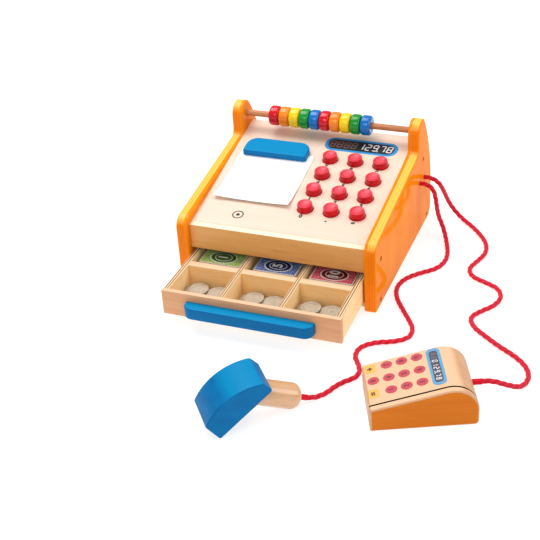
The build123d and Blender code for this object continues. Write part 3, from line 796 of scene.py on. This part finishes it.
def addPaper(look):
    (left, right), (low, high) = look["sides"], look["ends"]
    width, length = right - left, high - low
    bm = bmesh.new()
    bmesh.ops.create_grid(bm, x_segments=look["cells"], y_segments=look["cells"], size=0.5)
    bmesh.ops.scale(bm, vec=(width, length, 1), verts=bm.verts)
    for vertex in bm.verts:  # the free end lifts, its corners a little more
        fromEnd = (vertex.co.y + length / 2) / look["curlLength"]
        lift = max(0.0, 1 - fromEnd) ** 2
        aside = abs(2 * vertex.co.x / width) ** 3
        vertex.co.z = look["curl"] * lift * (0.55 + 0.45 * aside)
    mesh = bpy.data.meshes.new("notePaper")
    placed(bm, faceFrame((left + right) / 2, (low + high) / 2, look["rise"]))
    bm.to_mesh(mesh)
    bm.free()
    material, tree, shader = startMaterial("paperWhite", Roughness=0.75)
    pulp = addNode(tree, "TexNoise", Vector=objectCoords(tree), Scale=420.0, Detail=3.0).outputs["Fac"]
    whites = ramp(tree, pulp, ((0.3, linear(247, 250, 251)), (0.7, linear(253, 254, 255))))
    tree.links.new(whites, shader.inputs["Base Color"])
    bump(tree, shader, pulp, 0.06, 0.0002)
    mesh.materials.append(material)
    mesh.shade_smooth()
    paper = shownPiece("notePaper", mesh, "paper", ("paper_pad",))
    body = paper.modifiers.new("thickness", "SOLIDIFY")
    body.thickness = look["thickness"] / 1000
    body.offset = 1


addPaper(paperLook)
print("paper finished")

# drawer
plyLayers = {"first": 0.0013, "pitch": 0.0029}  # metres
for node in ("drawer_side_left", "drawer_side_right", "drawer_divider_left", "drawer_divider_right"):
    words = "".join(word.capitalize() for word in node.split("_")[1:])
    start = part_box(node)[0].x + plyLayers["first"]
    ply = plyMaterial("ply" + words, start=start, layer=plyLayers["pitch"], **drawerPly)
    refined(node, ply, "drawer", 0.35)
refined("drawer_front", frontWood, "drawer", 0.6)
refined("drawer_back", frontWood, "drawer", 0.5)
refined("drawer_cross_divider", crossWood, "drawer", 0.4)
paintNodes(plainPly, "drawer_bottom")

noteLook = {
    "floor": 13.8, "ends": (-3.0, 109.0), "sheets": 34, "sheet": 0.5, "step": 0.7, "shift": 0.4, "twist": 0.3,
    "trim": 1.4, "margin": 0.9, "oval": (14.5, 10.5), "ovalY": 15.5, "numeral": 12.0,
    "rings": ((1.22, 1, 0), (1.1, 2, 2), (0.78, 3, 0), (0.7, 4, 2)),  # size of the oval, layer, ink
    "bays": {"green": ((-99.0, -44.0), "1", (132, 172, 34), (64, 104, 14)),
             "blue": ((-27.5, 27.5), "5", (44, 82, 160), (16, 34, 100)),
             "red": ((44.0, 99.0), "10", (206, 24, 52), (128, 4, 26))},
}


def noteInk(name, colour, deep):  # banknote colour with fine woven lines
    material, tree, shader = startMaterial(name, Roughness=0.55)
    waves = [addNode(tree, "TexWave", {"bands_direction": way}, Vector=objectCoords(tree), Scale=120.0,
                     Distortion=7.0, Detail=2.0, Detail_Scale=2.0).outputs["Fac"] for way in ("X", "Y")]
    woven = sums(tree, "MULTIPLY", *waves)
    pale = [255 - (255 - c) * 0.4 for c in colour]
    printed = ramp(tree, woven, ((0.1, linear(*colour)), (0.62, linear(*pale))))
    tree.links.new(printed, shader.inputs["Base Color"])
    return material, inkMaterial(name + "Deep", deep)


notePaper = inkMaterial("notePaperEdge", (244, 240, 228), roughness=0.7)
for tone, ((left, right), value, colour, deep) in noteLook["bays"].items():
    stack = bmesh.new()
    front, back = noteLook["ends"]
    width, length = right - left - noteLook["trim"], back - front - noteLook["trim"]
    for level in range(noteLook["sheets"]):
        last = level == noteLook["sheets"] - 1
        shift = [0.0 if last else random.uniform(-1, 1) * noteLook["shift"] for _ in range(2)]
        twist = 0.0 if last else random.uniform(-1, 1) * noteLook["twist"]
        sheet = thick(plate(width, length), noteLook["sheet"])
        merged(stack, sheet, moved(*shift, level * noteLook["step"], twist))
    top = (noteLook["sheets"] - 1) * noteLook["step"] + noteLook["sheet"]
    ovalY = -length / 2 + noteLook["ovalY"]
    field = plate(width - 2 * noteLook["margin"], length - 2 * noteLook["margin"])
    merged(stack, thick(field, inkDepth), moved(z=top), 1)
    for scale, layer, part in noteLook["rings"]:
        oval = disc(1)
        bmesh.ops.scale(oval, vec=(*(half * scale for half in noteLook["oval"]), 1), verts=oval.verts)
        merged(stack, thick(oval, inkDepth), moved(0, ovalY, top + layer * inkDepth), part)
    numeral = thick(lettering(value, noteLook["numeral"], 0.05), inkDepth)
    merged(stack, numeral, moved(0, ovalY, top + 5 * inkDepth, 90), 0)
    middle = at((left + right) / 2, (front + back) / 2, noteLook["floor"])
    inks = noteInk(tone + "Ink", colour, deep)
    addPiece("noteStack_" + tone, stack, Matrix.Translation(middle), [notePaper, *inks], "drawer",
             ("notes_" + tone,))

coinLook = {
    "radius": 12.5, "thickness": 2.2, "rim": 1.3, "sunk": 0.28, "ease": 0.25, "inner": 8.2, "innerWall": 0.5,
    "numeral": 7.5, "floor": 13.8, "gap": 0.05,
    # across, along and layer of the nine coins in a bay
    "places": ((-15.0, 10.0, 0), (13.0, 9.0, 0), (-2.0, -12.0, 0), (-13.0, 12.0, 1), (14.0, 7.0, 1),
               (-16.0, 9.0, 2), (11.0, 11.0, 2), (-12.5, 10.5, 3), (14.0, 9.0, 3)),
    "values": "125", "bays": (-71.5, 0.0, 71.5), "middleY": -49.5,
}


def coinShape(look, value):
    thickness, sunk, radius = look["thickness"], look["sunk"], look["radius"]
    inside, ease = radius - look["rim"], look["ease"]
    half = [(0, sunk), (inside - ease, sunk), (inside, 0), (radius - ease, 0), (radius, ease)]
    bm = spun(half + [(r, thickness - z) for r, z in reversed(half)], 56)
    circle = thick(ring(disc(look["inner"]), look["innerWall"]), sunk * 0.8)
    merged(bm, circle, moved(z=thickness - sunk))
    merged(bm, thick(lettering(value, look["numeral"]), sunk * 0.9), moved(z=thickness - sunk))
    return bm


coinSteel = steelMaterial("coinSilver", (206, 196, 178), 0.38, 0.6)
coinBed = bmesh.new()
for bay in coinLook["bays"]:
    for x, y, level in coinLook["places"]:
        value = random.choice(coinLook["values"])
        height = coinLook["floor"] + level * (coinLook["thickness"] + coinLook["gap"])
        coin = coinShape(coinLook, value)
        merged(coinBed, coin, moved(bay + x, coinLook["middleY"] + y, height, random.uniform(0, 360)))
addPiece("coinSet", coinBed, Matrix.Translation(at(0, 0, 0)), [coinSteel], "drawer",
         ("coins",))
print("drawer finished")

# scanner
scannerLook = {"yaw": 38.5, "tilt": 37.7, "lean": 28.5}
yaw, tilt, lean = (radians(scannerLook[key]) for key in ("yaw", "tilt", "lean"))
upBase = Vector((cos(tilt) * cos(yaw), cos(tilt) * sin(yaw), sin(tilt)))
outOfBase = Vector((-sin(tilt) * cos(yaw), -sin(tilt) * sin(yaw), cos(tilt)))
handleAxis = upBase * sin(lean) - outOfBase * cos(lean)
grainTurn = handleAxis.to_track_quat("X", "Z").inverted().to_euler()
handleWood = woodMaterial("handleBeech", linear(226, 178, 134), linear(200, 144, 96), "x", 40, roughness=0.3,
                          coat=0.6, fleck=0.25, turn=tuple(grainTurn), relief=0.05)
paintNodes(handleWood, "scanner_handle")
refined("scanner_cord_sleeve", sleeveRed, "scanner", 0.7)
refined("reader_cord_sleeve", sleeveRed, "reader", 0.7)

# card reader
readerLook = {
    "corner": (182.0, -207.3, 26.8), "yaw": 23.1, "slope": 0.2243, "slotMiddle": 8.7, "slotHalf": 1.15,
    "columns": (9.0, 25.8, 42.2, 58.7), "rows": (26.9, 47.7, 69.4), "spot": 6.3,
    "squares": ((8.0, 68.4), (7.0, 26.6)), "square": (11.5, 13.5), "squareCorner": 2.0,
    "signHeight": 7.0, "numberHeight": 5.4,
    "top": (231, 190, 152), "natural": ((218, 172, 132), (202, 146, 102)),
    "orange": ((220, 124, 20), (204, 104, 8)), "slot": (46, 20, 12),
    "spotRed": (210, 64, 82), "yellow": (240, 190, 76), "number": (120, 20, 44),
    "printLift": 0.00001, "displayPlace": (0.0762, 0.0465),
}
readerYaw = radians(readerLook["yaw"])
lengthwise = Vector((cos(readerYaw), sin(readerYaw), 0))
sideways = Vector((-sin(readerYaw), cos(readerYaw), 0))
upSlope = (lengthwise + Vector((0, 0, readerLook["slope"]))).normalized()
readerTop = axes(at(*readerLook["corner"]), upSlope, upSlope.cross(sideways))


def readerMaterial(look):
    material, tree, shader = startMaterial("readerWood", Roughness=0.42, Coat_Weight=0.06, Coat_Roughness=0.1,
                                           Specular_IOR_Level=0.12)
    figure, fibres, _ = grainPattern(tree, "x", 30, (0, 0, -readerYaw))
    mixed = sums(tree, "ADD", sums(tree, "MULTIPLY", figure, 0.6), sums(tree, "MULTIPLY", fibres, 0.4))
    tones = [ramp(tree, mixed, ((0.32, linear(*look[paint][1])), (0.68, linear(*look[paint][0]))))
             for paint in ("natural", "orange")]
    # the top face gets a paler wood colour than the ends: painted light from above
    tones[0] = mixColours(tree, sideMask(tree, (0, 0, 1), 0.88, 0.97), tones[0], linear(*look["top"]))
    painted = mixColours(tree, sideMask(tree, sideways, 0.86, 0.93), *tones)
    # the card slot's walls are coloured dark: painted shade in the groove
    middle = at(*look["corner"]).dot(sideways) + look["slotMiddle"] / 1000
    fromSlot = sums(tree, "ABSOLUTE", sums(tree, "SUBTRACT", coordAlong(tree, "Object", sideways), middle))
    slotShadeMask = sums(tree, "LESS_THAN", fromSlot, look["slotHalf"] / 1000)
    tree.links.new(mixColours(tree, slotShadeMask, painted, linear(*look["slot"])), shader.inputs["Base Color"])
    bump(tree, shader, mixed, 0.06, 0.0004)
    return material


paintNodes(readerMaterial(readerLook), "reader_body")
readerInk = bmesh.new()
for place, sign in zip(readerLook["squares"], "+="):
    square = thick(plate(*readerLook["square"], readerLook["squareCorner"], 6), inkDepth)
    merged(readerInk, square, moved(*place), 1)
    mark = thick(lettering(sign, readerLook["signHeight"], 0.06), inkDepth)
    merged(readerInk, mark, moved(*place, inkDepth, 90), 2)
numbers = iter("0147258369")
for column, along in enumerate(readerLook["columns"]):
    for across in readerLook["rows"]:
        if column == 0 and across != readerLook["rows"][1]:
            continue
        merged(readerInk, thick(disc(readerLook["spot"], 40), inkDepth), moved(along, across))
        number = thick(lettering(next(numbers), readerLook["numberHeight"], 0.04), inkDepth)
        merged(readerInk, number, moved(along, across, inkDepth, 90), 2)
readerInks = [inkMaterial(name, readerLook[tone]) for name, tone in
              (("spotRed", "spotRed"), ("spotYellow", "yellow"), ("spotNumber", "number"))]
onTop = Matrix.Translation((0, 0, readerLook["printLift"]))
addPiece("readerPrint", readerInk, readerTop @ onTop, readerInks, "reader")
readerDisplay = {
    "middle": (0.0, 0.0), "size": (62.0, 15.0), "corner": 6.0, "inner": (53.0, 9.0), "innerCorner": 3.5,
    "digit": 6.2, "wall": 0.95, "pitch": 6.0, "first": -21.0, "text": "88012978", "dim": 2, "pointAfter": 5,
    "blue": (96, 166, 208), "black": (74, 70, 88), "bright": (244, 240, 240), "ghost": (120, 112, 128),
}
beside = Matrix.Translation((*readerLook["displayPlace"], readerLook["printLift"]))
addDisplay("readerDisplay", readerDisplay, readerTop @ beside @ Matrix.Rotation(-pi / 2, 4, "Z"), "reader")
print("scanner and card reader finished")
